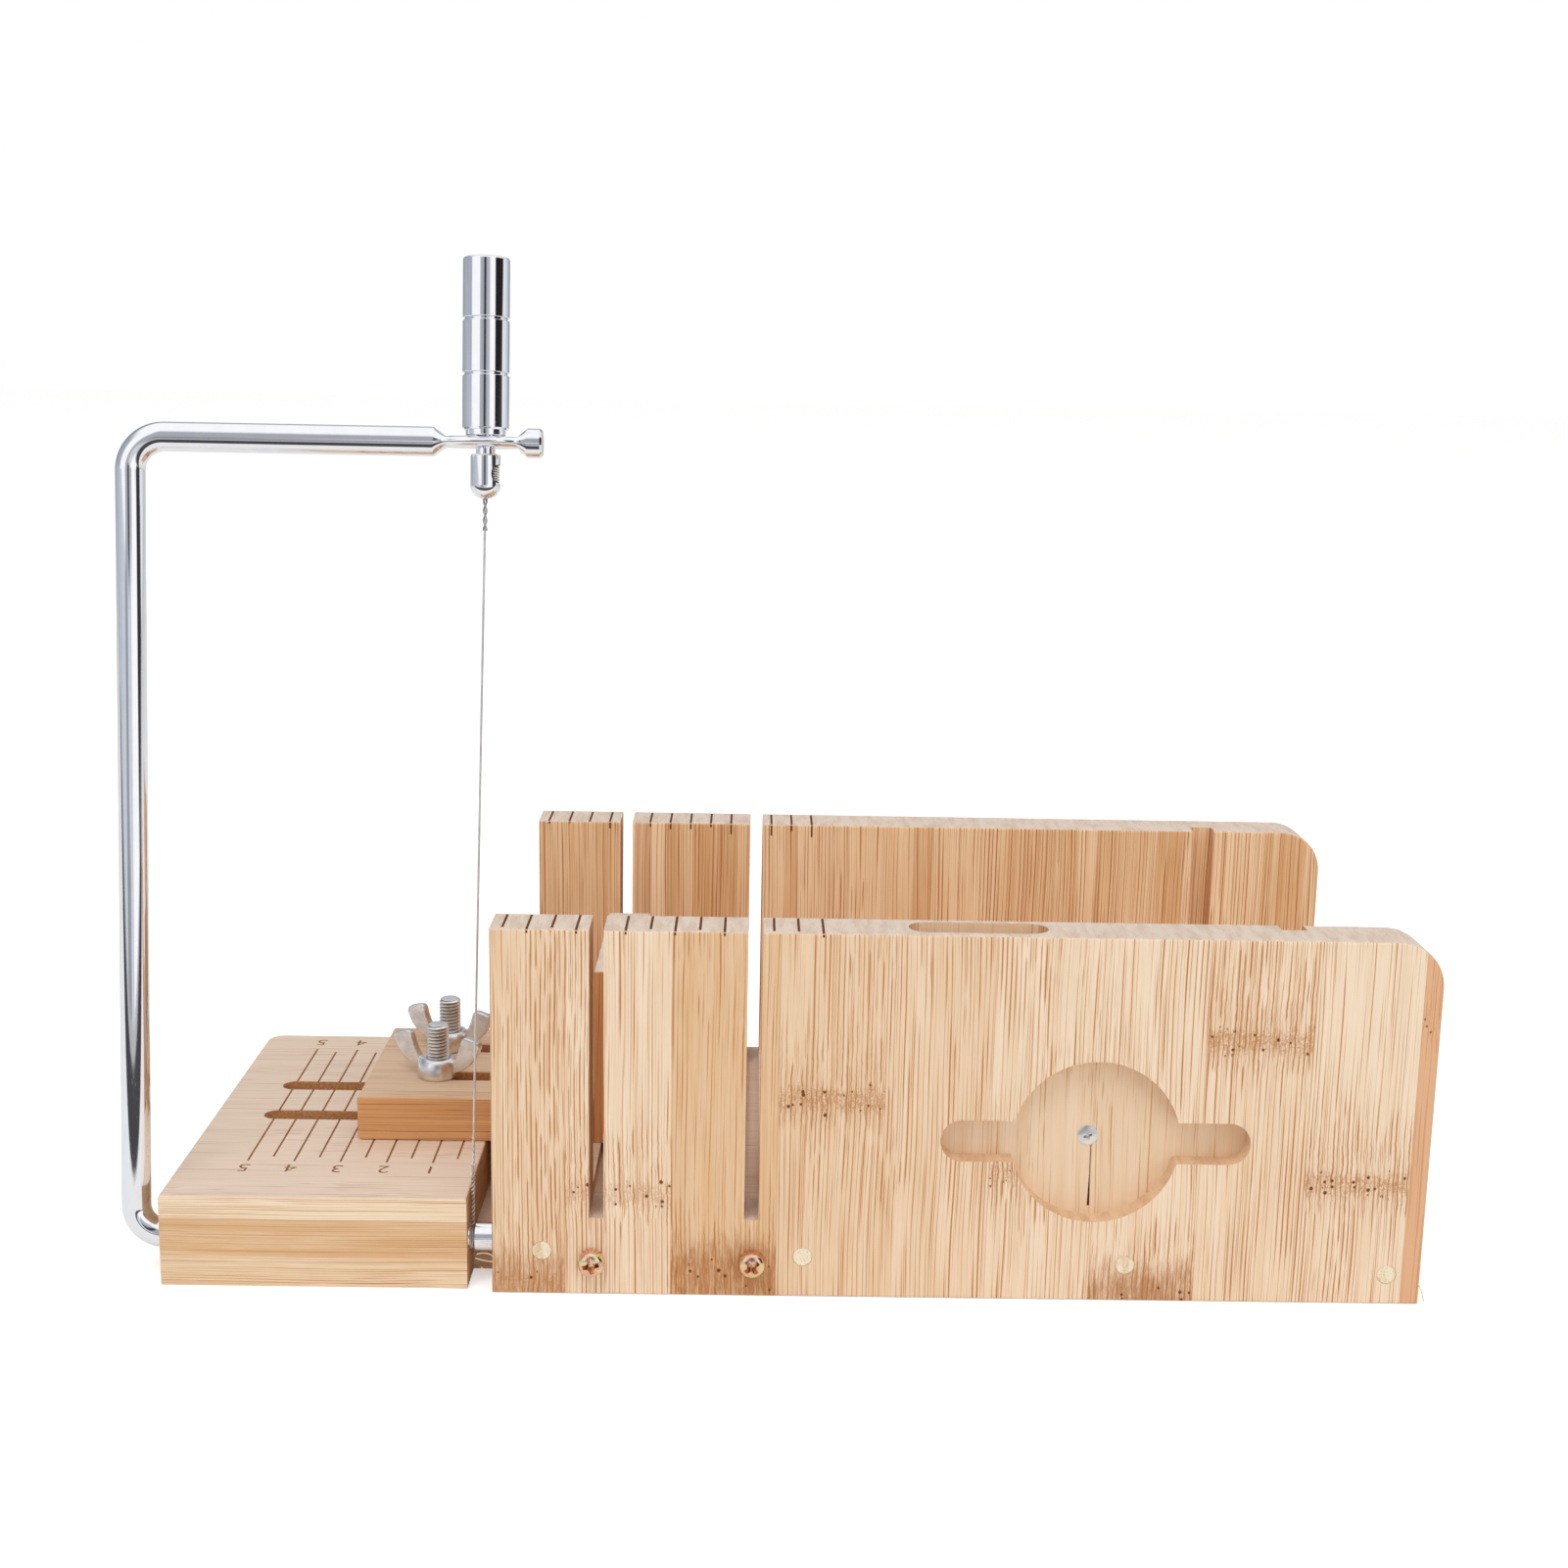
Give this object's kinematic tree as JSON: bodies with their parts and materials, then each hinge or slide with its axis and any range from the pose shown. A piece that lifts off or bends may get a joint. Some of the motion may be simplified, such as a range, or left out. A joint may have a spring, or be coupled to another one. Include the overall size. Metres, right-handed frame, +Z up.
{
  "type": "soap cutter",
  "caption": "Bamboo soap-loaf cutter box with a hinged wire bow, tension knob, slotted adjustable stop held by wing nuts and knife guide slots.",
  "frame": {"origin": "On the underside of the base, at the zero line of the walls' scale and midway between the walls", "axes": "+X along the box from the wire slit to the open end, +Y from the near wall with the recess to the far wall, +Z up"},
  "size_m": [0.2727, 0.1176, 0.2118],
  "materials": {
    "bamboo": "sanded bare bamboo, upright strips",
    "bamboo_end": "bamboo end grain",
    "bamboo_dark": "sanded carbonised bamboo",
    "chrome": "polished chrome plating",
    "steel": "bright stainless, cast and rolled",
    "wire": "drawn steel wire",
    "yellow_zinc": "yellow zinc plating",
    "bright_zinc": "bright zinc plating"
  },
  "bodies": {
    "base": {"base_board": "bamboo", "near_wall": "bamboo", "far_wall": "bamboo", "near_dowels": "bamboo_end", "far_dowels": "bamboo_end", "near_screws": "yellow_zinc", "far_screws": "yellow_zinc", "recess_screw": "bright_zinc"},
    "arm": {"cutting_arm": "chrome", "wire_leader": "wire", "cutting_wire": "wire"},
    "knob": {"tension_knob": "chrome"},
    "hook": {"wire_hook": "chrome"},
    "front_clamp": {"front_bolt": "steel"},
    "rear_clamp": {"rear_bolt": "steel"},
    "front_nut": {"front_wing_nut": "steel"},
    "rear_nut": {"rear_wing_nut": "steel"},
    "stop": {"stop_bar": "bamboo_dark", "stop_plate": "bamboo_dark"}
  },
  "joints": [
    {"name": "arm_swing", "type": "hinge", "parent": "base", "child": "arm", "pos_m": [0, -0.0495, 0.01], "axis": [-1, 0, 0], "range_deg": [-97.8, 83.2]},
    {"name": "knob_turn", "type": "hinge", "parent": "arm", "child": "knob", "pos_m": [-0.0005, -0.02988, 0.17453], "axis": [0, 0.1184, 0.993], "range_deg": [-361, 1081]},
    {"name": "hook_slide", "type": "slide", "parent": "arm", "child": "hook", "axis": [0, 0.1184, 0.993], "range_m": [-0.0021, 0.0007], "deforming": ["cutting_wire"]},
    {"name": "front_bolt_slide", "type": "slide", "parent": "base", "child": "front_clamp", "axis": [1, 0, 0], "range_m": [-0.0372, 0.0049]},
    {"name": "rear_bolt_slide", "type": "slide", "parent": "base", "child": "rear_clamp", "axis": [1, 0, 0], "range_m": [-0.0372, 0.0049]},
    {"name": "stop_slide", "type": "slide", "parent": "front_clamp", "child": "stop", "axis": [1, 0, 0], "range_m": [-0.026, 0]},
    {"name": "front_nut_turn", "type": "hinge", "parent": "front_clamp", "child": "front_nut", "pos_m": [-0.0157, -0.006, 0.03], "axis": [0, 0, 1], "range_deg": [0, 720]},
    {"name": "rear_nut_turn", "type": "hinge", "parent": "rear_clamp", "child": "rear_nut", "pos_m": [-0.0157, 0.0135, 0.03], "axis": [0, 0, 1], "range_deg": [0, 720]}
  ],
  "couplings": [
    {"joint": "knob_turn", "follows": "hook_slide", "rad_per_m": -8976},
    {"joint": "rear_bolt_slide", "follows": "front_bolt_slide", "ratio": 1}
  ]
}
